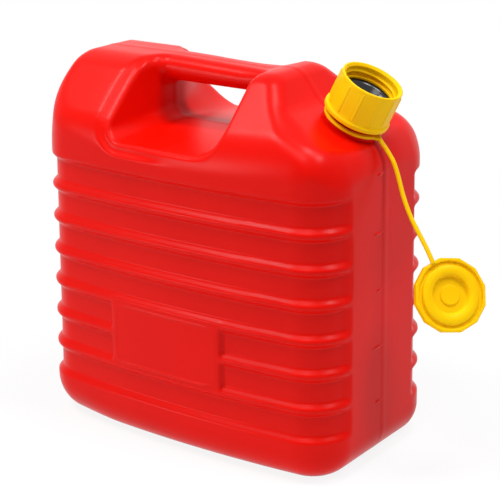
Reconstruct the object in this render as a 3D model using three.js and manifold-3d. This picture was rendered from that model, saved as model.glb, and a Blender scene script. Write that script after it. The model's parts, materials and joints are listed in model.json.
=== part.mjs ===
// Fuel can: a hollow blow-moulded can with a ribbed wall, a hand opening under a hollow grip bar, and a tilted
// threaded neck. A screw collar traps a flexible pouring spout, which is stored inside the can, and a stopper
// hangs from a ring on the neck by a strap.
// Millimetres, +Z up. The origin is the middle of the base on the floor. X runs along the width, towards the
// neck, and -Y is the front.

import * as THREE from 'three';
import { mergeVertices } from 'three/addons/utils/BufferGeometryUtils.js';
import Module from 'manifold-3d';

const wasm = await Module();
wasm.setup();

// Gap left between pieces that rest on each other
const SEAT_GAP = 0.3;

// Can
const WIDTH = 285;
const DEPTH = 173;
const HEIGHT = 300.5;
const WALL = 2.5;
const CORNER_RADIUS = 32;
const BASE_EDGE_RADIUS = 24;
const DRAFT = 3;

// Crown of the front and the back: each curves away from its middle to this angle, and is straight from there on,
// which starts this many corner radii from the sides
const CROWN_ANGLE = THREE.MathUtils.degToRad(5.7);
const CROWN_END = 1.25;

// Front and back shoulders: a slope between the broad faces and the top
const SHOULDER_DROP = 50.6;
const SHOULDER_SLOPE = THREE.MathUtils.degToRad(45);
const SHOULDER_FOOT_RADIUS = 28;
const SHOULDER_TOP_RADIUS = 40;

// Left end: leans in towards the top
const LEAN = 14.5;
const LEAN_DROP = 60;
const LEAN_FOOT_RADIUS = 60;
const LEFT_TOP_RADIUS = 12;

// Right end: a step down from the top to the platform that carries the neck
const STEP_INSET = 77.5;
const STEP_SLOPE = THREE.MathUtils.degToRad(52);
const STEP_TOP_RADIUS = 15;
const STEP_FOOT_RADIUS = 22;
const PLATFORM_EDGE_RADIUS = 25;

// Ribs: the wall between them is set back, except on a strip down each narrow side and on the label panel
const RIB_COUNT = 6;
const RIB_CREST = 3;
const GROOVE_DEPTH = 4;
const BASE_BAND = 37.6;
const SHOULDER_BAND = 76.1;
const STRIP_WIDTH = 87;
const PANEL_WIDTH = 98;
const PANEL_CENTRE = -2;
const PANEL_LOW_RIB = 0;
const PANEL_HIGH_RIB = 2;
const PANEL_CORNER_RADIUS = 4;

// Hand opening and grip bar
const OPENING_INSET = 82.5;
const OPENING_WIDTH = 108;
const OPENING_DROP = 51.5;
const OPENING_FLOOR_FALL = 7.5;
const OPENING_NEAR_RADIUS = 12;
const OPENING_FAR_RADIUS = 24;
const BAR_WIDTH = 34;
const BAR_THICKNESS = 20;
const BAR_EDGE_RADIUS = 8.5;
const BAR_ROOT = 14;

// Level marks on the right side, short and long in turn
const LEVEL_MARKS = 5;
const LEVEL_LOWEST = 50;
const LEVEL_TOP_DROP = 17;
const LEVEL_SHORT = 7.5;
const LEVEL_LONG = 10.5;
const LEVEL_HEIGHT = 1.4;
const LEVEL_PROUD = 0.6;
const LEVEL_INSET = 4;

// Neck: stands square on the platform, with a bead at its foot that carries the tether ring
const NECK_TILT = THREE.MathUtils.degToRad(27.5);
const NECK_INSET = 32.1;
const NECK_DROP = 37.2;
const NECK_HEIGHT = 24;
const NECK_RADIUS = 20;
const NECK_BORE_RADIUS = 17;
const NECK_ROOT_DEPTH = 6;
const BEAD_RADIUS = 22.5;
const BEAD_HEIGHT = 2.8;

// Screw thread of the neck and the collar
const THREAD_PITCH = 5;
const THREAD_HEIGHT = 1.5;
const THREAD_ROOT_WIDTH = 2.2;
const THREAD_CREST_WIDTH = 1;
const THREAD_CLEARANCE = 0.5;

// Collar
const COLLAR_WALL = 2;
const COLLAR_FOOT = 9.1;
const FLANGE_HEIGHT = 3.7;
const FLANGE_WIDTH = 1.8;
const LEDGE_RING_HEIGHT = 2;
const LEDGE_RING_RADIUS = 19;
const MOUTH_DEPTH = 9.7;
const MOUTH_RADIUS = 20.8;
const LIP_BEVEL = 1.7;
const RIM_CHAMFER = 0.8;
const FLAT_COUNT = 12;
const FLAT_TURN = THREE.MathUtils.degToRad(6);
const FLAT_DEPTH = 0.7;
const FLAT_MARGIN = 2.5;

// Screw thread of the collar's mouth and the stopper's plug
const PLUG_PITCH = 4;
const PLUG_THREAD_HEIGHT = 1.2;
const PLUG_ROOT_WIDTH = 1.8;
const PLUG_CREST_WIDTH = 0.8;
const PLUG_CLEARANCE = 0.4;

// Spout, stored tip down in the neck
const SPOUT_FLANGE_HEIGHT = 2.2;
const SPOUT_FLANGE_GAP = 0.8;
const SPOUT_CLEARANCE = 1;
const SPOUT_WALL = 2;
const SPOUT_FUNNEL = 4;
const SPOUT_STRAIGHT = 36;
const SPOUT_RIBS = 12;
const SPOUT_RIB_PITCH = 5;
const SPOUT_RIB_DEPTH = 2;
const SPOUT_TIP_LENGTH = 80;
const SPOUT_TIP_RADIUS = 10.5;

// Gaskets
const NECK_GASKET_HEIGHT = 1.2;
const STOPPER_GASKET_HEIGHT = 1.2;

// Tether ring on the neck's bead
const RING_HEIGHT = 2.5;
const RING_RADIUS = 23.6;
const RING_CLEARANCE = 0.4;
const TAB_WIDTH = 6;
const TAB_GAP = 0.5;

// Strap: its section, its gap to the stopper, and its route in the plane Y = 0 as [x, z], from the ring to the stopper
const STRAP_WIDTH = 4.2;
const STRAP_THICKNESS = 3;
const STRAP_SEAT = 0.5;
const STRAP_STEPS = 30;
const STRAP_ROUTE = [
  [136.5, 253.8], [140.6, 249.2], [144.2, 244.6], [147.4, 239.9], [149.9, 234.4], [152.0, 228.6],
  [153.9, 222.6], [155.9, 216.6], [158.3, 210.5], [161.1, 204.3], [164.3, 198.3], [167.9, 192.6],
  [171.6, 187.1], [175.2, 181.6], [178.6, 176.1], [182.6, 169.0],
];

// Stopper: a grip with rounded corners, a raised ring and a boss on its face, and a threaded plug on its back
const STOPPER_TURN = THREE.MathUtils.degToRad(34);
const STOPPER_LEAN = THREE.MathUtils.degToRad(6);
const GRIP_RADIUS = 28.5;
const GRIP_SIDES = 12;
const GRIP_CORNER_RADIUS = 5;
const GRIP_THICKNESS = 6;
const FACE_RIM_WIDTH = 2.4;
const FACE_GROOVE_DEPTH = 1.6;
const FACE_RING_OUTER = 22.5;
const FACE_RING_INNER = 14.4;
const FACE_RING_RISE = 1.2;
const FACE_RECESS_DEPTH = 3;
const BOSS_RADIUS = 7.5;
const BOSS_RISE = 1.2;
const PLUG_LENGTH = 9;
const PLUG_WALL = 2;

// Facets
const FACET_TURN = THREE.MathUtils.degToRad(22.5);
const ROUND_STEPS = 36;
const SPOUT_STEPS = 20;
const THREAD_STEPS = 24;

// Worked out from the sizes above
const ribPitch = (HEIGHT - SHOULDER_BAND - BASE_BAND + RIB_CREST) / (RIB_COUNT + 1);
const ribHeight = (rib) => BASE_BAND - RIB_CREST / 2 + ribPitch * (rib + 1);
const draftAt = (z) => DRAFT * Math.max(z - BASE_EDGE_RADIUS, 0) / (HEIGHT - BASE_EDGE_RADIUS);
const crownReach = WIDTH / 2 - CROWN_END * CORNER_RADIUS;
const crownTop = DEPTH / 2 + crownReach * Math.tan(CROWN_ANGLE / 2);
const crownFoot = crownTop - Math.tan(CROWN_ANGLE) * WIDTH / 2;
const openingLeft = -WIDTH / 2 + OPENING_INSET;
const openingRight = openingLeft + OPENING_WIDTH;
const neckFoot = new THREE.Vector3(WIDTH / 2 - NECK_INSET, 0, HEIGHT - NECK_DROP);
const platformEnd = WIDTH / 2 - draftAt(neckFoot.z);
const platformEdge = neckFoot.z - Math.tan(NECK_TILT) * (platformEnd - neckFoot.x);
const threadStart = COLLAR_FOOT + THREAD_PITCH / 2 + THREAD_ROOT_WIDTH;
const threadTurns = (NECK_HEIGHT - THREAD_ROOT_WIDTH - threadStart) / THREAD_PITCH;
const gasketFoot = NECK_HEIGHT + SEAT_GAP;
const spoutFlangeFoot = gasketFoot + NECK_GASKET_HEIGHT + SEAT_GAP;
const spoutFlangeTop = spoutFlangeFoot + SPOUT_FLANGE_HEIGHT;
const ledgeFoot = spoutFlangeTop + SEAT_GAP;
const ledgeTop = ledgeFoot + LEDGE_RING_HEIGHT;
const collarTop = ledgeTop + MOUTH_DEPTH;
const collarBore = NECK_RADIUS + THREAD_HEIGHT + THREAD_CLEARANCE;
const collarRadius = collarBore + COLLAR_WALL;
const neckPlace = new THREE.Matrix4().makeRotationY(NECK_TILT).setPosition(neckFoot);
const strapRoot = new THREE.Vector3(STRAP_ROUTE[0][0], 0, STRAP_ROUTE[0][1]);
const tabEnd = strapRoot.clone().applyMatrix4(neckPlace.clone().invert()).x - STRAP_THICKNESS / 2 - TAB_GAP;
const mouthTurns = (MOUTH_DEPTH - LIP_BEVEL - 2 * PLUG_ROOT_WIDTH) / PLUG_PITCH;
const plugRadius = MOUTH_RADIUS - PLUG_THREAD_HEIGHT - PLUG_CLEARANCE;
const plugEnd = -GRIP_THICKNESS - PLUG_LENGTH;
const stopperGasketTop = -GRIP_THICKNESS - SEAT_GAP;
const plugThreadTop = stopperGasketTop - STOPPER_GASKET_HEIGHT - SEAT_GAP - PLUG_ROOT_WIDTH;
const plugTurns = (plugThreadTop - plugEnd - PLUG_ROOT_WIDTH) / PLUG_PITCH;

const materials = {
  red: new THREE.MeshStandardMaterial({ color: 0xd5120c, roughness: 0.42, metalness: 0 }),
  yellow: new THREE.MeshStandardMaterial({ color: 0xf7b90f, roughness: 0.4, metalness: 0 }),
  black: new THREE.MeshStandardMaterial({ color: 0x141416, roughness: 0.5, metalness: 0 }),
};

// Solids and meshes

function solid(geometry) {
  const bare = geometry.clone();
  bare.deleteAttribute('normal');
  bare.deleteAttribute('uv');
  const merged = mergeVertices(bare, 1e-4);
  return new wasm.Manifold(new wasm.Mesh({
    numProp: 3,
    vertProperties: new Float32Array(merged.attributes.position.array),
    triVerts: new Uint32Array(merged.index.array),
  }));
}

function mesh(name, body, material) {
  const { vertProperties, triVerts } = body.getMesh();
  const geometry = new THREE.BufferGeometry();
  geometry.setAttribute('position', new THREE.BufferAttribute(new Float32Array(vertProperties), 3));
  geometry.setIndex(new THREE.BufferAttribute(new Uint32Array(triVerts), 1));
  geometry.computeVertexNormals();
  const piece = new THREE.Mesh(geometry, material);
  piece.name = name;
  return piece;
}

// An outline through corners [x, y, radius], counterclockwise, moved inwards by inset, with its corners rounded

const facets = (turn) => Math.max(2, Math.round(Math.abs(turn) / FACET_TURN));

function outline(corners, inset = 0) {
  const points = [];
  corners.forEach(([x, y, radius], i) => {
    const before = corners.at(i - 1);
    const after = corners[(i + 1) % corners.length];
    const arriving = new THREE.Vector2(x - before[0], y - before[1]).normalize();
    const leaving = new THREE.Vector2(after[0] - x, after[1] - y).normalize();
    const turn = Math.atan2(arriving.cross(leaving), arriving.dot(leaving));
    const side = Math.sign(turn);
    const bend = Math.max(radius - side * inset, 0.1);
    const fromNormal = new THREE.Vector2(-arriving.y, arriving.x);
    const toNormal = new THREE.Vector2(-leaving.y, leaving.x);
    const bisector = fromNormal.clone().add(toNormal).divideScalar(1 + fromNormal.dot(toNormal));
    const corner = new THREE.Vector2(x, y).addScaledVector(bisector, inset);
    const centre = corner.addScaledVector(bisector, side * bend);
    const steps = facets(turn);
    for (let step = 0; step <= steps; step += 1) {
      const radial = fromNormal.clone().multiplyScalar(-side * bend);
      radial.rotateAround(new THREE.Vector2(), turn * step / steps);
      points.push(centre.clone().add(radial));
    }
  });
  return points;
}

function rectangle(left, right, low, high, radius) {
  return [[left, low, radius], [right, low, radius], [right, high, radius], [left, high, radius]];
}

// Prisms: an outline in XY swept along Z, in XZ swept along Y, or in YZ swept along X

function prism(points, from, to, steps = 1) {
  const options = { depth: to - from, steps, bevelEnabled: false };
  return new THREE.ExtrudeGeometry(new THREE.Shape(points), options).translate(0, 0, from);
}

function prismAlongY(points, reach, steps = 1) {
  return prism(points, -reach, reach, steps).rotateX(Math.PI / 2);
}

function prismAlongX(points, from, to) {
  const [x, y, z] = [new THREE.Vector3(1, 0, 0), new THREE.Vector3(0, 1, 0), new THREE.Vector3(0, 0, 1)];
  return prism(points, from, to).applyMatrix4(new THREE.Matrix4().makeBasis(y, z, x));
}

// A closed body through outlines [z, points] with equal numbers of points, from the lowest up

function stack(levels) {
  const count = levels[0][1].length;
  const positions = levels.flatMap(([z, points]) => points.flatMap((point) => [point.x, point.y, z]));
  const index = [];
  for (let level = 0; level + 1 < levels.length; level += 1) {
    for (let i = 0; i < count; i += 1) {
      const [a, b] = [level * count + i, level * count + (i + 1) % count];
      index.push(a, b, b + count, a, b + count, a + count);
    }
  }
  const top = (levels.length - 1) * count;
  THREE.ShapeUtils.triangulateShape(levels[0][1], []).forEach(([a, b, c]) => {
    index.push(a, c, b, top + a, top + b, top + c);
  });
  const geometry = new THREE.BufferGeometry();
  geometry.setAttribute('position', new THREE.Float32BufferAttribute(positions, 3));
  geometry.setIndex(index);
  return geometry;
}

// A body of revolution about Z from [radius, z] points, which close on themselves or start and end on the axis

function turned(points, closed = true, steps = ROUND_STEPS) {
  const profile = points.map(([radius, z]) => new THREE.Vector2(radius, z));
  if (closed) {
    profile.push(profile[0].clone());
  }
  return new THREE.LatheGeometry(profile, steps).rotateX(Math.PI / 2);
}

function washer(inner, outer, foot, height) {
  return solid(turned([[inner, foot], [outer, foot], [outer, foot + height], [inner, foot + height]]));
}

function drum(radius, foot, top) {
  return solid(turned([[0, foot], [radius, foot], [radius, top], [0, top]], false));
}

// A right-handed helical ridge about Z, from its root radius to its crest radius

function ridge({ root, crest, rootWidth, crestWidth, pitch, turns, start }) {
  const section = [[root, -rootWidth / 2], [crest, -crestWidth / 2], [crest, crestWidth / 2], [root, rootWidth / 2]];
  if (crest < root) {
    section.reverse();
  }
  const steps = Math.ceil(turns * THREAD_STEPS);
  const positions = [];
  const index = [];
  for (let step = 0; step <= steps; step += 1) {
    const angle = 2 * Math.PI * turns * step / steps;
    const rise = start + pitch * turns * step / steps;
    section.forEach(([radius, z]) => {
      positions.push(radius * Math.cos(angle), radius * Math.sin(angle), rise + z);
    });
  }
  for (let step = 0; step < steps; step += 1) {
    for (let i = 0; i < 4; i += 1) {
      const [a, b] = [step * 4 + i, step * 4 + (i + 1) % 4];
      index.push(a, b + 4, b, a, a + 4, b + 4);
    }
  }
  const end = steps * 4;
  index.push(0, 1, 2, 0, 2, 3, end, end + 2, end + 1, end, end + 3, end + 2);
  const geometry = new THREE.BufferGeometry();
  geometry.setAttribute('position', new THREE.Float32BufferAttribute(positions, 3));
  geometry.setIndex(index);
  return geometry;
}

// Can body

function planOutline(inset) {
  const crownRadius = crownReach / Math.tan(CROWN_ANGLE);
  return outline([
    [-WIDTH / 2, -crownFoot, CORNER_RADIUS],
    [0, -crownTop, crownRadius],
    [WIDTH / 2, -crownFoot, CORNER_RADIUS],
    [WIDTH / 2, crownFoot, CORNER_RADIUS],
    [0, crownTop, crownRadius],
    [-WIDTH / 2, crownFoot, CORNER_RADIUS],
  ], inset);
}

function frontProfile(inset) {
  const platformRise = Math.tan(NECK_TILT);
  const stepRise = Math.tan(STEP_SLOPE);
  const stepTop = WIDTH / 2 - STEP_INSET;
  const stepFoot = (HEIGHT + stepRise * stepTop - neckFoot.z - platformRise * neckFoot.x) / (stepRise - platformRise);
  return outline([
    [-WIDTH / 2 - WALL, -WALL, WALL],
    [WIDTH / 2 + WALL, -WALL, WALL],
    [platformEnd, platformEdge, PLATFORM_EDGE_RADIUS],
    [stepFoot, HEIGHT - stepRise * (stepFoot - stepTop), STEP_FOOT_RADIUS],
    [stepTop, HEIGHT, STEP_TOP_RADIUS],
    [-WIDTH / 2 + LEAN, HEIGHT, LEFT_TOP_RADIUS],
    [-WIDTH / 2 + draftAt(HEIGHT - LEAN_DROP), HEIGHT - LEAN_DROP, LEAN_FOOT_RADIUS],
  ], inset);
}

function sideProfile(inset) {
  const footHalf = DEPTH / 2 - draftAt(HEIGHT - SHOULDER_DROP);
  const topHalf = footHalf - SHOULDER_DROP / Math.tan(SHOULDER_SLOPE);
  return outline([
    [-DEPTH / 2 - WALL, -WALL, WALL],
    [DEPTH / 2 + WALL, -WALL, WALL],
    [footHalf, HEIGHT - SHOULDER_DROP, SHOULDER_FOOT_RADIUS],
    [topHalf, HEIGHT, SHOULDER_TOP_RADIUS],
    [-topHalf, HEIGHT, SHOULDER_TOP_RADIUS],
    [-footHalf, HEIGHT - SHOULDER_DROP, SHOULDER_FOOT_RADIUS],
  ], inset);
}

const planLevel = (z, setBack) => [z, planOutline(setBack + draftAt(z))];

// The plan carried up from the rounded edge of the base, narrowing by its draft

function wallBody(inset) {
  const levels = [];
  const bend = BASE_EDGE_RADIUS - inset;
  const steps = facets(Math.PI / 2);
  for (let step = 0; step <= steps; step += 1) {
    const angle = Math.PI / 2 * step / steps;
    levels.push(planLevel(BASE_EDGE_RADIUS - bend * Math.cos(angle), BASE_EDGE_RADIUS - bend * Math.sin(angle)));
  }
  levels.push(planLevel(HEIGHT + WALL, inset));
  return solid(stack(levels));
}

// What a groove between two ribs takes from the wall: a band with sloping flanks that runs on past the wall's face

function groove(low, high, inset) {
  const past = inset - 2 * GROOVE_DEPTH;
  const floor = inset + GROOVE_DEPTH;
  const band = stack([planLevel(low - GROOVE_DEPTH, past), planLevel(high + GROOVE_DEPTH, past)]);
  const core = stack([
    planLevel(low - 2 * GROOVE_DEPTH, past), planLevel(low + GROOVE_DEPTH, floor),
    planLevel(high - GROOVE_DEPTH, floor), planLevel(high + 2 * GROOVE_DEPTH, past),
  ]);
  return solid(band).subtract(solid(core));
}

function handOpening(inset) {
  const floor = HEIGHT - OPENING_DROP;
  const corners = [
    [openingLeft, floor, OPENING_NEAR_RADIUS],
    [openingRight, floor, OPENING_FAR_RADIUS],
    [openingRight, HEIGHT + OPENING_DROP, OPENING_NEAR_RADIUS],
    [openingLeft, HEIGHT + OPENING_DROP, OPENING_NEAR_RADIUS],
  ];
  const geometry = prismAlongY(outline(corners, -inset), DEPTH, 2);
  const place = geometry.attributes.position;
  for (let i = 0; i < place.count; i += 1) {
    place.setZ(i, place.getZ(i) - OPENING_FLOOR_FALL * Math.abs(place.getY(i)) / (DEPTH / 2));
  }
  return solid(geometry);
}

function gripBar(inset) {
  const section = rectangle(-BAR_WIDTH / 2, BAR_WIDTH / 2, HEIGHT - BAR_THICKNESS, HEIGHT, BAR_EDGE_RADIUS);
  return solid(prismAlongX(outline(section, inset), openingLeft - BAR_ROOT, openingRight + BAR_ROOT));
}

// The can's form moved inwards by inset: 0 gives its outside, and the wall's thickness gives its hollow

function canForm(inset) {
  const front = solid(prismAlongY(frontProfile(inset), DEPTH));
  const side = solid(prismAlongX(sideProfile(inset), -WIDTH, WIDTH));
  const strip = new THREE.BoxGeometry(2 * WIDTH, STRIP_WIDTH - 2 * inset, 2 * HEIGHT);
  const panelCorners = rectangle(
    PANEL_CENTRE - PANEL_WIDTH / 2, PANEL_CENTRE + PANEL_WIDTH / 2,
    ribHeight(PANEL_LOW_RIB) - RIB_CREST / 2, ribHeight(PANEL_HIGH_RIB) + RIB_CREST / 2, PANEL_CORNER_RADIUS);
  const panel = prismAlongY(outline(panelCorners, inset), DEPTH / 4).translate(0, -DEPTH / 2, 0);
  const flush = solid(strip).add(solid(panel));
  const spread = inset * Math.tan(Math.PI / 8);
  let body = wallBody(inset);
  for (let rib = -1; rib < RIB_COUNT; rib += 1) {
    const low = ribHeight(rib) + RIB_CREST / 2 - spread;
    const high = ribHeight(rib + 1) - RIB_CREST / 2 + spread;
    body = body.subtract(groove(low, high, inset).subtract(flush));
  }
  return body.intersect(front).intersect(side).subtract(handOpening(inset)).add(gripBar(inset));
}

function neckSolid() {
  const outside = turned([
    [0, -NECK_ROOT_DEPTH], [BEAD_RADIUS, -NECK_ROOT_DEPTH], [BEAD_RADIUS, BEAD_HEIGHT],
    [NECK_RADIUS, BEAD_HEIGHT], [NECK_RADIUS, NECK_HEIGHT], [0, NECK_HEIGHT],
  ], false);
  const thread = ridge({
    root: NECK_RADIUS - THREAD_CLEARANCE, crest: NECK_RADIUS + THREAD_HEIGHT,
    rootWidth: THREAD_ROOT_WIDTH, crestWidth: THREAD_CREST_WIDTH,
    pitch: THREAD_PITCH, turns: threadTurns, start: threadStart,
  });
  return solid(outside).add(solid(thread));
}

function levelMarks() {
  const pitch = (platformEdge - LEVEL_TOP_DROP - LEVEL_LOWEST) / (LEVEL_MARKS - 1);
  let marks = null;
  for (let mark = 0; mark < LEVEL_MARKS; mark += 1) {
    const length = mark % 2 === 0 ? LEVEL_SHORT : LEVEL_LONG;
    const height = LEVEL_LOWEST + pitch * mark;
    const dash = new THREE.BoxGeometry(2 * LEVEL_PROUD, length, LEVEL_HEIGHT);
    dash.translate(WIDTH / 2 - draftAt(height), -LEVEL_INSET - length / 2, height);
    marks = marks ? marks.add(solid(dash)) : solid(dash);
  }
  return marks;
}

function canBody() {
  const bore = drum(NECK_BORE_RADIUS, -3 * NECK_ROOT_DEPTH, NECK_HEIGHT + WALL);
  const shell = canForm(0).add(neckSolid().transform(neckPlace.elements)).add(levelMarks());
  return shell.subtract(canForm(WALL)).subtract(bore.transform(neckPlace.elements));
}

// Collar

function collar() {
  const flangeTop = COLLAR_FOOT + FLANGE_HEIGHT;
  const lip = MOUTH_RADIUS + LIP_BEVEL;
  let body = solid(turned([
    [collarBore, COLLAR_FOOT], [collarRadius + FLANGE_WIDTH, COLLAR_FOOT],
    [collarRadius + FLANGE_WIDTH, flangeTop], [collarRadius, flangeTop],
    [collarRadius, collarTop - RIM_CHAMFER], [collarRadius - RIM_CHAMFER, collarTop],
    [lip, collarTop], [MOUTH_RADIUS, collarTop - LIP_BEVEL],
    [MOUTH_RADIUS, ledgeTop], [LEDGE_RING_RADIUS, ledgeTop],
    [LEDGE_RING_RADIUS, ledgeFoot], [collarBore, ledgeFoot],
  ]));
  const flatHeight = collarTop - flangeTop - 2 * FLAT_MARGIN;
  for (let flat = 0; flat < FLAT_COUNT; flat += 1) {
    const cut = new THREE.BoxGeometry(2 * COLLAR_WALL, collarRadius, flatHeight);
    cut.translate(collarRadius - FLAT_DEPTH + COLLAR_WALL, 0, flangeTop + FLAT_MARGIN + flatHeight / 2);
    body = body.subtract(solid(cut.rotateZ(2 * Math.PI * flat / FLAT_COUNT + FLAT_TURN)));
  }
  const thread = ridge({
    root: collarBore + THREAD_CLEARANCE, crest: collarBore - THREAD_HEIGHT,
    rootWidth: THREAD_ROOT_WIDTH, crestWidth: THREAD_CREST_WIDTH,
    pitch: THREAD_PITCH, turns: threadTurns, start: threadStart - THREAD_PITCH / 2,
  });
  const mouthThread = ridge({
    root: MOUTH_RADIUS + PLUG_CLEARANCE, crest: MOUTH_RADIUS - PLUG_THREAD_HEIGHT,
    rootWidth: PLUG_ROOT_WIDTH, crestWidth: PLUG_CREST_WIDTH,
    pitch: PLUG_PITCH, turns: mouthTurns, start: ledgeTop + PLUG_ROOT_WIDTH,
  });
  return body.add(solid(thread)).add(solid(mouthThread));
}

// Spout, tip down

function spout() {
  const flangeRadius = collarBore - SPOUT_FLANGE_GAP;
  const outer = NECK_BORE_RADIUS - SPOUT_CLEARANCE;
  const ribsTop = spoutFlangeFoot - SPOUT_STRAIGHT;
  const ribsFoot = ribsTop - SPOUT_RIBS * SPOUT_RIB_PITCH;
  const tip = ribsFoot - SPOUT_TIP_LENGTH;
  const waist = outer - SPOUT_RIB_DEPTH;
  const profile = [
    [outer, spoutFlangeFoot], [flangeRadius, spoutFlangeFoot], [flangeRadius, spoutFlangeTop],
    [outer, spoutFlangeTop], [waist - SPOUT_WALL, spoutFlangeTop - SPOUT_FUNNEL],
    [waist - SPOUT_WALL, ribsFoot], [SPOUT_TIP_RADIUS - SPOUT_WALL, tip], [SPOUT_TIP_RADIUS, tip],
    [waist, ribsFoot],
  ];
  for (let rib = SPOUT_RIBS - 1; rib >= 0; rib -= 1) {
    const middle = ribsTop - SPOUT_RIB_PITCH * (rib + 0.5);
    profile.push([outer, middle], [waist, middle + SPOUT_RIB_PITCH / 2]);
  }
  profile.push([outer, ribsTop + SPOUT_RIB_DEPTH]);
  return solid(turned(profile, true, SPOUT_STEPS));
}

// Tether ring, with the tab that carries the strap

function tetherRing() {
  const bore = NECK_RADIUS + RING_CLEARANCE;
  const foot = BEAD_HEIGHT + SEAT_GAP;
  const ring = washer(bore, RING_RADIUS, foot, RING_HEIGHT);
  const tabStart = (bore + RING_RADIUS) / 2;
  const tab = new THREE.BoxGeometry(tabEnd - tabStart, TAB_WIDTH, RING_HEIGHT);
  tab.translate((tabEnd + tabStart) / 2, 0, foot + RING_HEIGHT / 2);
  return ring.add(solid(tab));
}

// Strap: an oval section along its route, with a round end at the tab, about which it swings

const strapCurve = new THREE.CatmullRomCurve3(STRAP_ROUTE.map(([x, z]) => new THREE.Vector3(x, 0, z)));

function tetherStrap() {
  const section = new THREE.Shape();
  section.absellipse(0, 0, STRAP_WIDTH / 2, STRAP_THICKNESS / 2, 0, 2 * Math.PI);
  const options = { steps: STRAP_STEPS, curveSegments: 5, bevelEnabled: false, extrudePath: strapCurve };
  const end = new THREE.CylinderGeometry(STRAP_THICKNESS / 2, STRAP_THICKNESS / 2, STRAP_WIDTH, 12);
  end.translate(strapRoot.x, 0, strapRoot.z);
  return solid(new THREE.ExtrudeGeometry(section, options)).add(solid(end));
}

// Stopper, with its face towards +Z and the strap coming in along +Y

function stopper() {
  const corners = [];
  for (let side = 0; side < GRIP_SIDES; side += 1) {
    const angle = 2 * Math.PI * (side + 0.5) / GRIP_SIDES;
    corners.push([GRIP_RADIUS * Math.cos(angle), GRIP_RADIUS * Math.sin(angle), GRIP_CORNER_RADIUS]);
  }
  const grip = solid(prism(outline(corners), -GRIP_THICKNESS, 0));
  const rim = GRIP_RADIUS * Math.cos(Math.PI / GRIP_SIDES) - FACE_RIM_WIDTH;
  const groove = washer(FACE_RING_OUTER, rim, -FACE_GROOVE_DEPTH, 2 * FACE_GROOVE_DEPTH);
  const recess = drum(FACE_RING_INNER, -FACE_RECESS_DEPTH, FACE_RECESS_DEPTH);
  const boss = drum(BOSS_RADIUS, -FACE_RECESS_DEPTH - BOSS_RISE, -FACE_RECESS_DEPTH + BOSS_RISE);
  const ringMiddle = (FACE_RING_OUTER + FACE_RING_INNER) / 2;
  const ring = solid(turned([
    [FACE_RING_INNER, -FACE_RING_RISE], [FACE_RING_OUTER, -FACE_RING_RISE], [FACE_RING_OUTER, 0],
    [ringMiddle, FACE_RING_RISE], [FACE_RING_INNER, 0],
  ]));
  const plug = washer(plugRadius - PLUG_WALL, plugRadius, plugEnd, PLUG_LENGTH + FACE_RING_RISE);
  const thread = ridge({
    root: plugRadius - PLUG_CLEARANCE, crest: plugRadius + PLUG_THREAD_HEIGHT,
    rootWidth: PLUG_ROOT_WIDTH, crestWidth: PLUG_CREST_WIDTH,
    pitch: PLUG_PITCH, turns: plugTurns, start: plugEnd + PLUG_ROOT_WIDTH,
  });
  const faced = grip.subtract(groove).subtract(recess).add(ring).add(boss);
  return faced.add(plug).add(solid(thread));
}

// Assembly

const fuelCan = new THREE.Group();
fuelCan.add(mesh('can_body', canBody(), materials.red));

const neckGroup = new THREE.Group();
neckGroup.position.copy(neckFoot);
neckGroup.rotation.y = NECK_TILT;
const spoutShank = NECK_BORE_RADIUS - SPOUT_CLEARANCE;
neckGroup.add(
  mesh('collar', collar(), materials.yellow),
  mesh('spout', spout(), materials.black),
  mesh('neck_gasket', washer(spoutShank + SEAT_GAP, NECK_RADIUS, gasketFoot, NECK_GASKET_HEIGHT), materials.black),
  mesh('tether_ring', tetherRing(), materials.yellow),
);
fuelCan.add(neckGroup);

fuelCan.add(mesh('tether_strap', tetherStrap(), materials.yellow));

const stopperGroup = new THREE.Group();
const strapEnd = strapCurve.getPoint(1);
const strapWay = strapCurve.getTangent(1);
const sideways = new THREE.Vector3(0, 1, 0);
const faceNormal = sideways.clone().cross(strapWay).negate().applyAxisAngle(strapWay, STOPPER_TURN);
const outwards = strapWay.clone().applyAxisAngle(faceNormal, STOPPER_LEAN);
const inwards = outwards.clone().negate();
const across = inwards.clone().cross(faceNormal);
const flatRadius = GRIP_RADIUS * Math.cos(Math.PI / GRIP_SIDES);
stopperGroup.quaternion.setFromRotationMatrix(new THREE.Matrix4().makeBasis(across, inwards, faceNormal));
stopperGroup.position.copy(strapEnd).addScaledVector(outwards, flatRadius + STRAP_SEAT);
stopperGroup.add(
  mesh('stopper', stopper(), materials.yellow),
  mesh('stopper_gasket', washer(
    plugRadius + SEAT_GAP, MOUTH_RADIUS + LIP_BEVEL,
    stopperGasketTop - STOPPER_GASKET_HEIGHT, STOPPER_GASKET_HEIGHT), materials.black),
);
fuelCan.add(stopperGroup);

export default fuelCan;
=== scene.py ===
# Looks of a red fuel can with a ribbed wall, a screw collar over a stored pouring spout, and a stopper
# on a strap. The can's sizes are in millimetres, and become metres where a mesh is made. The stage's sizes
# are in metres. +Z is up, +X runs towards the neck, and -Y is the front.

import json
import math

import bmesh
import bpy
import numpy as np
from mathutils import Matrix, Vector


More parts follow.
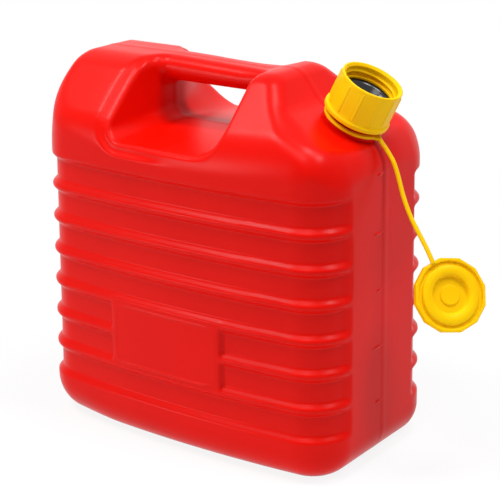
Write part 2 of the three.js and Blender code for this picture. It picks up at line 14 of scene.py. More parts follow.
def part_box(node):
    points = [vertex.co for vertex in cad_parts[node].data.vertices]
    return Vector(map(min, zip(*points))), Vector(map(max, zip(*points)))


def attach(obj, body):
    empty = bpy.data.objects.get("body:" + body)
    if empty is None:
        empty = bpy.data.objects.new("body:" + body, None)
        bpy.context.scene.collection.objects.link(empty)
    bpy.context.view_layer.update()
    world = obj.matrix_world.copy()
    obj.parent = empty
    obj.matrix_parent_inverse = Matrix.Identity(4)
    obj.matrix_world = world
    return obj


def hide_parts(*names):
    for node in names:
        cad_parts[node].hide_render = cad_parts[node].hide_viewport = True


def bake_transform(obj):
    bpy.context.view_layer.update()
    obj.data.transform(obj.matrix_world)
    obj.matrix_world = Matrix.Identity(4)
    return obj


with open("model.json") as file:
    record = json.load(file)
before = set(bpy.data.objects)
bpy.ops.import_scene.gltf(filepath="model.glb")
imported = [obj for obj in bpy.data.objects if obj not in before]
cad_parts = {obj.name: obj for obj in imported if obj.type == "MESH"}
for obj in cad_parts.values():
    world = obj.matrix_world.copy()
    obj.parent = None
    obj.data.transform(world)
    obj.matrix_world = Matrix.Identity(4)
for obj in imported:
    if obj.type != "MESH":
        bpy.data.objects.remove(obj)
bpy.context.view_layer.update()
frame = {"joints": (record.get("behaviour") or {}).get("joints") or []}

MM = 0.001
scene = bpy.context.scene
scene.view_settings.view_transform = "Standard"

# Camera: the photograph's view, as a turn, a rise, a small roll and the point looked at
VIEW_AZIMUTH = math.radians(35.808)
VIEW_ELEVATION = math.radians(18.122)
VIEW_ROLL = -0.0078
VIEW_TARGET = Vector((16.7, 0, 147.55))
VIEW_DISTANCE = 1236.4
VIEW_LENS = 111.12
VIEW_SENSOR = 36

# Can, with its overall size taken from the frame
can_low, can_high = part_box("can_body")
WIDTH = -2 * can_low.x / MM
DEPTH = 2 * can_high.y / MM
HEIGHT = can_high.z / MM
CORNER_RADIUS = 32
BASE_EDGE_RADIUS = 24
BASE_LEFT_GROWTH = 8
BASE_LEFT_START = 60
DRAFT = 3
CROWN_SLOPE = math.tan(math.radians(5.7))
CROWN_REACH = 102.5
TOP_CROWN = 0.4
WALL = 6.5

# Shoulders, leaning left end, step and neck platform. A change sets in at its start and is full at its end.
SHOULDER_DROP = 50.6
SHOULDER_FOOT_RADIUS = 48
SHOULDER_RIGHT_GROWTH = 0.2
SHOULDER_RIGHT_START = 80
SHOULDER_LEFT_LOSS = 0.42
SHOULDER_LEFT_START = 40
SHOULDER_LEFT_END = 110
SHOULDER_TOP_RADIUS = 34
LEAN = 11.5
LEAN_DROP = 60
LEAN_SOFTNESS = 9
STEP_INSET = 77.5
STEP_SLOPE = math.radians(52)
STEP_TOP_RADIUS = 15
STEP_FOOT_RADIUS = 22
STEP_BLEND_START = 20
STEP_BLEND_END = 55
RIDGE_RADIUS = 24
PLATFORM_EDGE_RADIUS = 25
HIP_GROWTH = 0.5
HIP_START = 70
HIP_SIDE_START = 20
HIP_SIDE_END = 60

# Ribs, flush strips, label panel and level marks
RIB_COUNT = 6
RIB_LOWEST = 34.1
RIB_PITCH = 27.1
RIB_CREST = 1.6
RIB_TOP_FLANK = 4.6
RIB_FOOT_FLANK = 5.6
RIB_SOFTNESS = 0.2
GROOVE_DEPTH = 4
STRIP_FLANK = 9
PANEL_FLANK = 3
STRIP_WIDTH = 87
PANEL_WIDTH = 105
PANEL_CENTRE = -5.8
PANEL_LOW_RIB = 0
PANEL_HIGH_RIB = 2
PANEL_BORDER = 4
PANEL_CORNER_RADIUS = 6
PANEL_LINE_WIDTH = 1.6
PANEL_LINE_RISE = 1
LEVEL_MARKS = 5
LEVEL_LOWEST = 50
LEVEL_TOP_DROP = 17
LEVEL_SHORT = 5.4
LEVEL_LONG = 7.8
LEVEL_HEIGHT = 1.1
LEVEL_RISE = 1.2
LEVEL_INSET = 4
LEVEL_EDGE_IN = 0.5
LEVEL_EDGE_OUT = 0.4
PARTING_RISE = 0.8
PARTING_WIDTH = 1.8
PARTING_FOOT = 3

# Hand opening, its stepped ledge, and the grip bar
OPENING_INSET = 82.5
OPENING_WIDTH = 105
OPENING_DROP = 51.5
OPENING_FLOOR_FALL = 7.5
OPENING_FLOOR_SOFTNESS = 6
OPENING_NEAR_RADIUS = 12
OPENING_FAR_RADIUS = 24
OPENING_CROWN = 4
OPENING_LEAN = 0.155
OPENING_LEAN_START = 10
OPENING_LEAN_END = 60
OPENING_BACK = 75
OPENING_BACK_FLARE = 12
OPENING_BACK_GROWTH = 18
LIP_NEAR_RADIUS = 4
LIP_FAR_RADIUS = 2.5
LEDGE_WIDTH = 9.5
LEDGE_DEPTH = 3.4
LEDGE_EDGE = 5
LEDGE_RIM = 0.35
LEDGE_FADE_START = 20
LEDGE_FADE_END = 35
BAR_WIDTH = 34
BAR_THICKNESS = 20
BAR_EDGE_RADIUS = 8.5
BAR_ROOT = 14
BAR_FILLET = 6
BAR_DIP = 2.2
BAR_DIP_END = 12
BAR_RISE_START = 6
BAR_RISE_END = 8

# Neck and its thread, measured along the neck's axis from its foot
NECK_HEIGHT = 24
NECK_RADIUS = 20
NECK_BORE_RADIUS = 17
NECK_ROOT_DEPTH = 5
NECK_HOLE_RADIUS = 18.5
BEAD_RADIUS = 22.5
BEAD_HEIGHT = 2.8
THREAD = {"height": 1.5, "root": 2.4, "crest": 0.9, "pitch": 5, "start": 13.8, "turns": 1.6}

# Collar
COLLAR_FOOT = 9.1
COLLAR_TOP = 40
COLLAR_BORE = 22
COLLAR_RADIUS = 24
FLANGE_RADIUS = 25.8
FLANGE_HEIGHT = 3.7
FLANGE_FOOT_EDGE = 0.9
FLANGE_TOP_EDGE = 1.1
LEDGE_RING_FOOT = 28.3
LEDGE_RING_TOP = 30.3
LEDGE_RING_RADIUS = 19
MOUTH_RADIUS = 20.8
LIP_BEVEL = 1.7
FLAT_COUNT = 12
FLAT_PHASE = math.radians(-9)
FLAT_DEPTH = 0.3
FLAT_RIDGE = 0.8
FLAT_RIDGE_SPAN = math.radians(2.4)
FLAT_MARGIN = 2.5
FLAT_FADE = 1
COLLAR_THREAD = {"height": -1.5, "root": 2.4, "crest": 0.9, "pitch": 5, "start": 11.3, "turns": 1.6}
MOUTH_THREAD = {"height": -1.2, "root": 2.2, "crest": 0.9, "pitch": 4, "start": 32.2, "turns": 1.1}

# Spout, stored tip down
SPOUT_FLANGE_FOOT = 25.8
SPOUT_FLANGE_TOP = 28
SPOUT_FLANGE_RADIUS = 21.2
SPOUT_RADIUS = 16
SPOUT_BORE_RADIUS = 12
SPOUT_FUNNEL = 6
SPOUT_FUNNEL_EDGE = 4
SPOUT_LIP = 1
SPOUT_RIBS_TOP = -10.2
SPOUT_RIBS = 12
SPOUT_RIB_PITCH = 5
SPOUT_RIB_DEPTH = 2
SPOUT_RIB_EDGE = 0.9
SPOUT_TIP_LENGTH = 80
SPOUT_TIP_RADIUS = 10.5
SPOUT_TIP_WALL = 2

# Gaskets
GASKET_EDGE = 0.3
NECK_GASKET = {"inner": 16.3, "outer": 20, "foot": 24.3, "height": 1.2}
STOPPER_GASKET = {"inner": 19.5, "outer": 22.5, "foot": -7.5, "height": 1.2}

# Tether ring, with a lug towards the strap
RING_BORE_RADIUS = 20.4
RING_RADIUS = 23.6
RING_FOOT = 3.1
RING_HEIGHT = 2.5
RING_TOP_EDGE = 1.3
LUG_REACH = 2.4
LUG_WIDTH = 6
LUG_EDGE_IN = 1
LUG_EDGE_OUT = 2

# Strap: its section, and its route in the plane Y = 0 as (x, z), from the ring to the stopper
STRAP_WIDTH = 4.2
STRAP_THICKNESS = 3
STRAP_SINK = 2
STRAP_SPAN_PARTS = 4
STRAP_SIDES = 24
STRAP_ROUTE = (
    (136.5, 253.8), (140.6, 249.2), (144.2, 244.6), (147.4, 239.9), (149.9, 234.4), (152.0, 228.6),
    (153.9, 222.6), (155.9, 216.6), (158.3, 210.5), (161.1, 204.3), (164.3, 198.3), (167.9, 192.6),
    (171.6, 187.1), (175.2, 181.6), (178.6, 176.1), (182.6, 169.0),
)

# Stopper, measured from its face
STOPPER_TURN = math.radians(34)
STOPPER_LEAN = math.radians(6)
STOPPER_GAP = 0.5
GRIP_RADIUS = 28.5
GRIP_SIDES = 12
GRIP_THICKNESS = 6
GRIP_EDGE = 0.5
GRIP_FACE_EDGE = 0.9
RIM_WIDTH = 2.4
RIM_GROOVE_DEPTH = 1.8
FACE_RING_OUTER = 22.5
FACE_RING_INNER = 14.4
FACE_RING_RISE = 1.4
FACE_RING_CROWN = 1
FACE_RING_TIP = 0.1
FACE_RING_CROWN_RADIUS = 8
FACE_RING_INNER_EDGE = 1.6
FACE_RING_OUTER_EDGE = 1.4
FACE_DRAFT = 0.3
FACE_RECESS_DEPTH = 3
RECESS_FLOOR_INSET = 0.6
RECESS_TOP_FLARE = 0.4
BOSS_RADIUS = 7.5
BOSS_RISE = 1.2
PLUG_RADIUS = 19.2
PLUG_WALL = 2
PLUG_LENGTH = 9
PLUG_THREAD = {"height": 1.2, "root": 1.8, "crest": 0.8, "pitch": 4, "start": -13.2, "turns": 0.9}

# Turned pieces: steps around the axis and in an arc, roundings of small edges, longest steps along
# profiles, and the ends of threads
ROUND_STEPS = 240
ARC_STEPS = 5
ARC_SHARE = 0.49
CRISP = 0.3
SHARP = 0.4
TIGHT = 0.5
EASED = 0.6
SOFT = 0.8
FULL = 1
PROFILE_STEPS = {"neck": 0.6, "collar": 0.7, "spout": 4, "ring": 0.8, "stopper": 0.8}
THREAD_SOFTNESS = 0.2
THREAD_RUN_OUT = 0.08
NECK_TOLERANCE = 0.1
RADIUS_TOLERANCE = 0.05
WELD_DISTANCE = 0.001

# Grid of the can's surface: its steps, and finer zones (before, after, step) around what has detail
GRID_REACH = 4
GRID_STEP = 4
GRID_LAYER = 2.4
HOLLOW_STEP = 7
EDGE_ZONE = (8, 6, 1.4)
STRIP_ZONE = (3, 7, 1.4)
PARTING_ZONE = (1.2, 1.2, 0.35)
LEVEL_ACROSS_ZONE = (15, -3, 1)
LEVEL_UP_ZONE = (1.4, 1.4, 0.5)
RIBS_ZONE = (2, 2, 1.1)
SHOULDER_ZONE = (0, 4, 1.8)
PANEL_LINE_ZONE = (1, 1, 0.6)
EVENING_ROUNDS = 2
SLOPE_REACH = 0.05
LEAST_STEEPNESS = 0.1
LONGEST_MOVE = 2

# Finish: colours, and the patches, gloss, waviness and grain of a moulded surface
RED = (0.68, 0.003, 0.0003)
DEEP_RED = (0.64, 0.002, 0.0003)
YELLOW = (0.93, 0.57, 0.003)
DEEP_YELLOW = (0.90, 0.49, 0.002)
BLACK = (0.010, 0.010, 0.012)
DEEP_BLACK = (0.006, 0.006, 0.007)
RUBBER = (0.014, 0.014, 0.014)
DEEP_RUBBER = (0.009, 0.009, 0.009)
WHITE = (1, 1, 1)
PATCHES = {"scale": 14, "detail": 3, "low": 0.25, "high": 0.6}
GLOSS = {"scale": 45, "detail": 4, "spread": 0.05}
WAVE = {"scale": 28, "detail": 1, "strength": 0.12, "depth": 1.5}
GRAIN = {"scale": 1500, "detail": 2, "depth": 0.15}


# Meshes

def make_piece(name, points, faces, material, place=None):
    """An object from points in millimetres and an array of quads, moved by place, which is in metres."""
    mesh = bpy.data.meshes.new(name)
    mesh.vertices.add(len(points))
    mesh.vertices.foreach_set("co", (np.asarray(points) * MM).astype(np.float32).ravel())
    mesh.loops.add(faces.size)
    mesh.loops.foreach_set("vertex_index", faces.astype(np.int32).ravel())
    mesh.polygons.add(len(faces))
    mesh.polygons.foreach_set("loop_start", np.arange(0, faces.size, 4, dtype=np.int32))
    mesh.update(calc_edges=True)
    if place:
        mesh.transform(place)
    weld = bmesh.new()
    weld.from_mesh(mesh)
    bmesh.ops.remove_doubles(weld, verts=weld.verts, dist=WELD_DISTANCE * MM)
    weld.to_mesh(mesh)
    weld.free()
    mesh.materials.append(material)
    mesh.shade_smooth()
    piece = bpy.data.objects.new(name, mesh)
    scene.collection.objects.link(piece)
    return piece


def dress(piece, body, slot, *nodes):
    """The piece rides on a body and stands for CAD nodes, which it hides. The slot is not used."""
    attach(piece, body)
    if nodes:
        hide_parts(*nodes)
    return piece


def rounded(corners, closed=True):
    """A profile through corners (radius, height, rounding), with an arc where the rounding is not 0."""
    points = []
    for i, (radius, height, rounding) in enumerate(corners):
        here = Vector((radius, height))
        is_end = not closed and i in (0, len(corners) - 1)
        if rounding == 0 or is_end:
            points.append(here)
            continue
        before = Vector(corners[i - 1][:2]) - here
        after = Vector(corners[(i + 1) % len(corners)][:2]) - here
        half = before.angle(after) / 2
        reach = min(rounding / math.tan(half), ARC_SHARE * before.length, ARC_SHARE * after.length)
        before.normalize()
        after.normalize()
        centre = here + (before + after).normalized() * (reach / math.cos(half))
        start = here + before * reach - centre
        turn = math.copysign(math.pi - 2 * half, before.cross(after))
        for step in range(ARC_STEPS + 1):
            angle = -turn * step / ARC_STEPS
            rotated = Matrix.Rotation(angle, 2) @ start
            points.append(centre + rotated)
    return np.array([tuple(p) for p in points])


def refined(profile, longest, closed=True):
    """The profile with points added where its steps are longer than longest."""
    points = []
    following = np.roll(profile, -1, axis=0)
    for i, (here, after) in enumerate(zip(profile, following)):
        is_last = not closed and i == len(profile) - 1
        parts = 1 if is_last else max(1, math.ceil(np.linalg.norm(after - here) / longest))
        points.extend(here + (after - here) * part / parts for part in range(parts))
    return np.array(points)


def turned(profile, closed=True, shape=None):
    """Points and quads of a profile (radius, height) turned about Z, with radii that shape may change."""
    count = len(profile)
    angle = 2 * np.pi * np.arange(ROUND_STEPS)[:, None] / ROUND_STEPS
    radius = np.broadcast_to(profile[:, 0], (ROUND_STEPS, count))
    height = np.broadcast_to(profile[:, 1], (ROUND_STEPS, count))
    if shape:
        radius = shape(radius, height, angle)
    points = np.stack([radius * np.cos(angle), radius * np.sin(angle), height], axis=-1).reshape(-1, 3)
    step = np.arange(ROUND_STEPS)[:, None]
    row = np.arange(count if closed else count - 1)[None, :]
    after_step = (step + 1) % ROUND_STEPS
    after_row = (row + 1) % count
    faces = np.stack([
        step * count + row,
        after_step * count + row,
        after_step * count + after_row,
        step * count + after_row,
    ], axis=-1)
    return points, faces.reshape(-1, 4)


def smooth_step(value, low, high):
    """A share that goes from 0 at low to 1 at high."""
    share = np.clip((value - low) / (high - low), 0, 1)
    return share * share * (3 - 2 * share)


def thread_ridge(height, angle, thread):
    """How far a helical ridge stands out at a height and an angle about Z."""
    share = angle / (2 * np.pi)
    turn = np.round((height - thread["start"]) / thread["pitch"] - share) + share
    offset = np.abs(height - thread["start"] - thread["pitch"] * turn)
    ridge = 1 - smooth_step(offset, thread["crest"] / 2, thread["root"] / 2 + THREAD_SOFTNESS)
    run_in = smooth_step(turn, 0, THREAD_RUN_OUT)
    run_out = smooth_step(turn, thread["turns"] - THREAD_RUN_OUT, thread["turns"])
    return thread["height"] * ridge * (run_in * (1 - run_out))


# Signed distances: negative is inside

def round_max(a, b, rounding):
    """The overlap of two forms, with their edge rounded."""
    corner = np.hypot(np.maximum(a + rounding, 0), np.maximum(b + rounding, 0))
    return np.minimum(np.maximum(a, b), -rounding) + corner


def round_min(a, b, rounding):
    """The sum of two forms, with the corner between them filled."""
    return -round_max(-a, -b, rounding)


def edge_rounding(radius, turn):
    """The rounding that gives an edge its radius between two planes that turn by an angle."""
    return radius * (1 - math.cos(turn))


joints = {joint["name"]: joint for joint in frame["joints"]}
neck_foot = Vector(joints["collar_turn"]["pos_m"]) / MM
neck_axis = Vector(joints["collar_turn"]["axis"])
neck_tilt = math.atan2(neck_axis.x, neck_axis.z)
neck_place = Matrix.Translation(neck_foot * MM) @ Matrix.Rotation(neck_tilt, 4, "Y")
opening_left = OPENING_INSET - WIDTH / 2
opening_right = opening_left + OPENING_WIDTH


def draft_at(z):
    """How far the wall leans in at a height."""
    return DRAFT * np.maximum(z - BASE_EDGE_RADIUS, 0) / (HEIGHT - BASE_EDGE_RADIUS)


platform_edge = neck_foot.z - math.tan(neck_tilt) * (WIDTH / 2 - draft_at(neck_foot.z) - neck_foot.x)
level_pitch = (platform_edge - LEVEL_TOP_DROP - LEVEL_LOWEST) / (LEVEL_MARKS - 1)


def rib_height(rib):
    """The height of a rib's middle. -1 and RIB_COUNT are the edges of the plain bands below and above."""
    return RIB_LOWEST + RIB_PITCH * (rib + 1)


panel_low = rib_height(PANEL_LOW_RIB) - RIB_CREST / 2
panel_high = rib_height(PANEL_HIGH_RIB) + RIB_CREST / 2


def panel_distance(x, y, z, inset, radius):
    """The distance from the label panel's outline moved inwards by inset, and far away at the back."""
    across = np.abs(x - PANEL_CENTRE) - PANEL_WIDTH / 2 + inset + radius
    up = np.abs(z - (panel_low + panel_high) / 2) - (panel_high - panel_low) / 2 + inset + radius
    outside = np.hypot(np.maximum(across, 0), np.maximum(up, 0))
    return outside + np.minimum(np.maximum(across, up), 0) - radius + np.where(y > 0, DEPTH, 0)


def groove_depth(x, y, z):
    """How far the wall is set back between the ribs, off the strips and off the panel."""
    share = np.zeros_like(z)
    for rib in range(-1, RIB_COUNT):
        above = np.clip((z - rib_height(rib) - RIB_CREST / 2) / RIB_TOP_FLANK, 0, 1)
        above = above + RIB_SOFTNESS * (smooth_step(above, 0, 1) - above)
        below = smooth_step((rib_height(rib + 1) - RIB_CREST / 2 - z) / RIB_FOOT_FLANK, 0, 1)
        share = np.maximum(share, np.minimum(above, below))
    off_strip = (np.abs(y) - STRIP_WIDTH / 2) / STRIP_FLANK
    off_panel = panel_distance(x, y, z, 0, 0) / PANEL_FLANK
    return GROOVE_DEPTH * share * smooth_step(np.minimum(off_strip, off_panel), 0, 1)


def wall_relief(x, y, z):
    """How far the panel's border line and the level marks stand out."""
    border = np.abs(panel_distance(x, y, z, PANEL_BORDER, PANEL_CORNER_RADIUS))
    rise = PANEL_LINE_RISE * (1 - smooth_step(border, 0, PANEL_LINE_WIDTH / 2))
    for mark in range(LEVEL_MARKS):
        length = LEVEL_LONG if mark % 2 else LEVEL_SHORT
        along = np.abs(y + LEVEL_INSET + length / 2) - length / 2
        up = np.abs(z - LEVEL_LOWEST - level_pitch * mark) - LEVEL_HEIGHT / 2
        dash = 1 - smooth_step(np.maximum(along, up), -LEVEL_EDGE_IN, LEVEL_EDGE_OUT)
        rise = rise + LEVEL_RISE * dash * (x > 0)
    return rise


def hand_opening(x, y, z):
    """The distance from the hand opening, a hole through the can without a top, wider towards its ends."""
    fall = OPENING_FLOOR_FALL * np.sqrt(y * y + OPENING_FLOOR_SOFTNESS**2) / (DEPTH / 2)
    floor = HEIGHT - OPENING_DROP - fall
    at_back = smooth_step(y, 0, OPENING_BACK)
    crown = OPENING_CROWN * (1 - 2 * (y / (DEPTH / 2))**2)
    off_middle = smooth_step(np.abs(y), OPENING_LEAN_START, OPENING_LEAN_END)
    lean = OPENING_LEAN * (z - floor) * off_middle
    left = opening_left + crown - lean - OPENING_BACK_FLARE * at_back
    near = round_max(left - x, floor - z, OPENING_NEAR_RADIUS + OPENING_BACK_GROWTH * at_back)
    return round_max(near, x - opening_right, OPENING_FAR_RADIUS)


def can_wall(x, y, z):
    """The distance from the upright wall: crowned broad faces, flat ends, and a left end that leans in."""
    lean_height = z - HEIGHT + LEAN_DROP
    lean = LEAN / LEAN_DROP * (lean_height + np.sqrt(lean_height**2 + LEAN_SOFTNESS**2)) / 2
    off_middle = np.abs(x)
    curved = np.minimum(off_middle, CROWN_REACH)
    crown = CROWN_SLOPE * (curved**2 / (2 * CROWN_REACH) + off_middle - curved)
    inset = CORNER_RADIUS + draft_at(z)
    across = np.abs(x - lean / 2) - WIDTH / 2 + lean / 2 + inset
    along = np.abs(y) - DEPTH / 2 + crown + inset
    corner = np.hypot(np.maximum(across, 0), np.maximum(along, 0)) - CORNER_RADIUS
    return corner + np.minimum(np.maximum(across, along), 0)


def below_shoulders(body, x, y, z):
    """The body cut by its long shoulders, whose foot is rounder towards the neck."""
    foot = HEIGHT - SHOULDER_DROP
    shoulder = (np.abs(y) - DEPTH / 2 + draft_at(foot) + z - foot) / math.sqrt(2)
    growth = SHOULDER_RIGHT_GROWTH * smooth_step(x, SHOULDER_RIGHT_START, WIDTH / 2)
    loss = SHOULDER_LEFT_LOSS * smooth_step(-x, SHOULDER_LEFT_START, SHOULDER_LEFT_END)
    rounding = edge_rounding(SHOULDER_FOOT_RADIUS, math.pi / 4) * (1 + growth - loss)
    return round_max(body, shoulder, rounding)


def below_platform(body, x, y, z):
    """The body cut by the step and by the neck's platform, whose corners are rounder under the neck."""
    step_x = x - WIDTH / 2 + STEP_INSET
    step = step_x * math.sin(STEP_SLOPE) + (z - HEIGHT) * math.cos(STEP_SLOPE)
    platform = (x - neck_foot.x) * neck_axis.x + (z - neck_foot.z) * neck_axis.z
    right = round_min(step, platform, edge_rounding(STEP_FOOT_RADIUS, STEP_SLOPE - neck_tilt))
    ridge = edge_rounding(RIDGE_RADIUS, math.acos(neck_axis.z / math.sqrt(2)))
    edge = edge_rounding(PLATFORM_EDGE_RADIUS, math.pi / 2 - neck_tilt)
    rounding = ridge + (edge - ridge) * smooth_step(x, neck_foot.x, WIDTH / 2)
    off_middle = smooth_step(np.abs(y), HIP_SIDE_START, HIP_SIDE_END)
    hip = 1 + HIP_GROWTH * smooth_step(x, HIP_START, neck_foot.x) * off_middle
    return round_max(body, right, hip * rounding)


def with_opening(body, x, y, z, detailed):
    """The body cut by the hand opening, with a lip, and with a sunken ledge around its left end."""
    opening = hand_opening(x, y, z)
    near = 1 - smooth_step(x, opening_left + LEDGE_FADE_START, opening_right - LEDGE_FADE_END)
    if detailed:
        ledge = 1 - smooth_step(opening, LEDGE_WIDTH - LEDGE_EDGE, LEDGE_WIDTH)
        rim = LEDGE_RIM * (1 - smooth_step(opening, 0, LEDGE_WIDTH - LEDGE_EDGE))
        body = body + LEDGE_DEPTH * near * ledge * (1 - rim)
    return round_max(body, -opening, LIP_FAR_RADIUS + (LIP_NEAR_RADIUS - LIP_FAR_RADIUS) * near)


def with_bar(body, x, y, z):
    """The body with the grip bar across the hand opening."""
    bar = round_max(np.abs(y) - BAR_WIDTH / 2, HEIGHT - BAR_THICKNESS - z, BAR_EDGE_RADIUS)
    bar = np.maximum(bar, np.maximum(opening_left - BAR_ROOT - x, x - opening_right - BAR_ROOT))
    return round_min(body, bar, BAR_FILLET)


def below_top(body, x, y, z):
    """The body cut by its slightly crowned top, which dips along the bar."""
    shoulder_top = edge_rounding(SHOULDER_TOP_RADIUS, math.pi / 4)
    step_top = edge_rounding(STEP_TOP_RADIUS, STEP_SLOPE)
    rounding = shoulder_top + (step_top - shoulder_top) * smooth_step(x, STEP_BLEND_START, STEP_BLEND_END)
    dip = BAR_DIP * smooth_step(x, opening_left, opening_right - BAR_DIP_END)
    dip = dip * (1 - smooth_step(x, opening_right - BAR_RISE_START, opening_right + BAR_RISE_END))
    off_middle = np.minimum(np.abs(y) / BAR_WIDTH, 1)
    top = z - HEIGHT + dip + TOP_CROWN * off_middle**2
    return round_max(body, top, rounding)


def can_form(x, y, z, detailed=True):
    """The distance from the can's outside. Without detail it has no ribs, ledge, marks or lines."""
    wall = can_wall(x, y, z)
    if detailed:
        wall = wall + groove_depth(x, y, z) - wall_relief(x, y, z)
    base_edge = BASE_EDGE_RADIUS + BASE_LEFT_GROWTH * smooth_step(-x, BASE_LEFT_START, WIDTH / 2)
    body = round_max(wall, -z, base_edge)
    body = below_shoulders(body, x, y, z)
    body = below_platform(body, x, y, z)
    body = with_opening(body, x, y, z, detailed)
    body = with_bar(body, x, y, z)
    body = below_top(body, x, y, z)
    if detailed:
        parting = 1 - smooth_step(np.abs(y), 0, PARTING_WIDTH / 2)
        body = body - PARTING_RISE * parting * smooth_step(z, PARTING_FOOT, BASE_EDGE_RADIUS)
    return body


def hollow_form(x, y, z):
    """The distance from the can's inside, a wall's thickness within its plain outside."""
    return can_form(x, y, z, detailed=False) + WALL


# Surface of a form: one point in each grid cell that the form's boundary crosses

UNIT_STEPS = np.eye(3, dtype=int)


def grid_lines(low, high, step, fine=()):
    """Coordinates from low to high by step, or by a zone's own step inside a zone (from, to, step)."""
    lines = [low]
    while lines[-1] < high:
        steps = [size for start, end, size in fine if start <= lines[-1] < end]
        lines.append(lines[-1] + min(steps + [step]))
    return np.array(lines)


def zone(start, end, size):
    """A zone of the grid from before its start to after its end, with a step of its own."""
    before, after, step = size
    return start - before, end + after, step


def net_points(field, axes, cells):
    """The middle of the boundary's crossings of each cell's edges."""
    total = np.zeros(cells.shape)
    hits = np.zeros(len(cells))
    for axis in range(3):
        unit = UNIT_STEPS[axis]
        others = UNIT_STEPS[[(axis + 1) % 3, (axis + 2) % 3]]
        for i, j in ((0, 0), (1, 0), (0, 1), (1, 1)):
            start = cells + i * others[0] + j * others[1]
            end = start + unit
            a = field[tuple(start.T)]
            b = field[tuple(end.T)]
            crossed = (a < 0) != (b < 0)
            share = a[crossed] / (a[crossed] - b[crossed])
            low = np.stack([axes[d][start[crossed, d]] for d in range(3)], axis=1)
            low[:, axis] += share * (axes[axis][end[crossed, axis]] - low[:, axis])
            total[crossed] += low
            hits[crossed] += 1
    return total / hits[:, None]


def net_faces(inside, number):
    """A quad around each grid edge that the boundary crosses, facing outwards."""
    faces = []
    for axis in range(3):
        lower = np.delete(inside, -1, axis=axis)
        upper = np.delete(inside, 0, axis=axis)
        edges = np.argwhere(lower != upper)
        is_out = lower[tuple(edges.T)]
        step_a, step_b = UNIT_STEPS[[(axis + 1) % 3, (axis + 2) % 3]]
        around = [edges, edges - step_a, edges - step_a - step_b, edges - step_b]
        quads = np.stack([number[tuple(cell.T)] for cell in around], axis=1)
        quads[~is_out] = quads[~is_out][:, ::-1]
        faces.append(quads)
    return np.concatenate(faces)


def onto(points, form, rounds=3):
    """Points moved along the form's slope until they lie on its boundary."""
    for _ in range(rounds):
        value = form(*points.T)
        slope = np.stack([
            form(*(points + offset).T) - form(*(points - offset).T) for offset in SLOPE_REACH * np.eye(3)
        ], axis=1) / (2 * SLOPE_REACH)
        steepness = np.maximum((slope**2).sum(axis=1), LEAST_STEEPNESS)
        travel = np.clip(value / steepness, -LONGEST_MOVE, LONGEST_MOVE)
        points = points - slope * travel[:, None]
    return points


def evened(points, faces):
    """Points moved half way to the middle of their neighbours."""
    total = np.zeros(points.shape)
    hits = np.zeros(len(points))
    for i in range(4):
        for neighbour in ((i + 1) % 4, (i + 3) % 4):
            np.add.at(total, faces[:, i], points[faces[:, neighbour]])
            np.add.at(hits, faces[:, i], 1)
    return (points + total / hits[:, None]) / 2


def surface(form, axes):
    """Points and quads of a form's boundary on a grid of coordinate lines."""
    x, y, z = np.ix_(*(lines.astype(np.float32) for lines in axes))
    field = form(x, y, z)
    inside = field < 0
    shape = tuple(n - 1 for n in field.shape)
    count = np.zeros(shape, dtype=np.int8)
    for i, j, k in np.ndindex(2, 2, 2):
        count += inside[i:i + shape[0], j:j + shape[1], k:k + shape[2]]
    mixed = (count > 0) & (count < 8)
    cells = np.argwhere(mixed)
    number = np.full(shape, -1)
    number[mixed] = np.arange(len(cells))
    faces = net_faces(inside, number)
    points = onto(net_points(field, axes, cells), form)
    for _ in range(EVENING_ROUNDS):
        points = onto(evened(points, faces), form, rounds=2)
    return points, faces


def neck_hole(points, faces):
    """The faces without those inside the neck's hole, whose edge is made round."""
    place = np.array(neck_place.inverted())
    local = points @ place[:3, :3].T + place[:3, 3] / MM
    radius = np.hypot(local[:, 0], local[:, 1])
    near = np.abs(local[:, 2]) < 2 * WALL
    in_hole = (radius[faces].mean(axis=1) < NECK_HOLE_RADIUS) & near[faces].all(axis=1)
    rim = np.intersect1d(faces[in_hole], faces[~in_hole])
    local[rim, :2] *= (NECK_HOLE_RADIUS / radius[rim])[:, None]
    back = np.array(neck_place)
    points = points.copy()
    points[rim] = local[rim] @ back[:3, :3].T + back[:3, 3] / MM
    return points, faces[~in_hole]


def bridge_rims(mesh):
    """Joins the open rims of the outside and the hollow."""
    bridge = bmesh.new()
    bridge.from_mesh(mesh)
    rims = [edge for edge in bridge.edges if edge.is_boundary]
    bmesh.ops.bridge_loops(bridge, edges=rims)
    bmesh.ops.recalc_face_normals(bridge, faces=bridge.faces)
    bridge.to_mesh(mesh)
    bridge.free()
    mesh.shade_smooth()


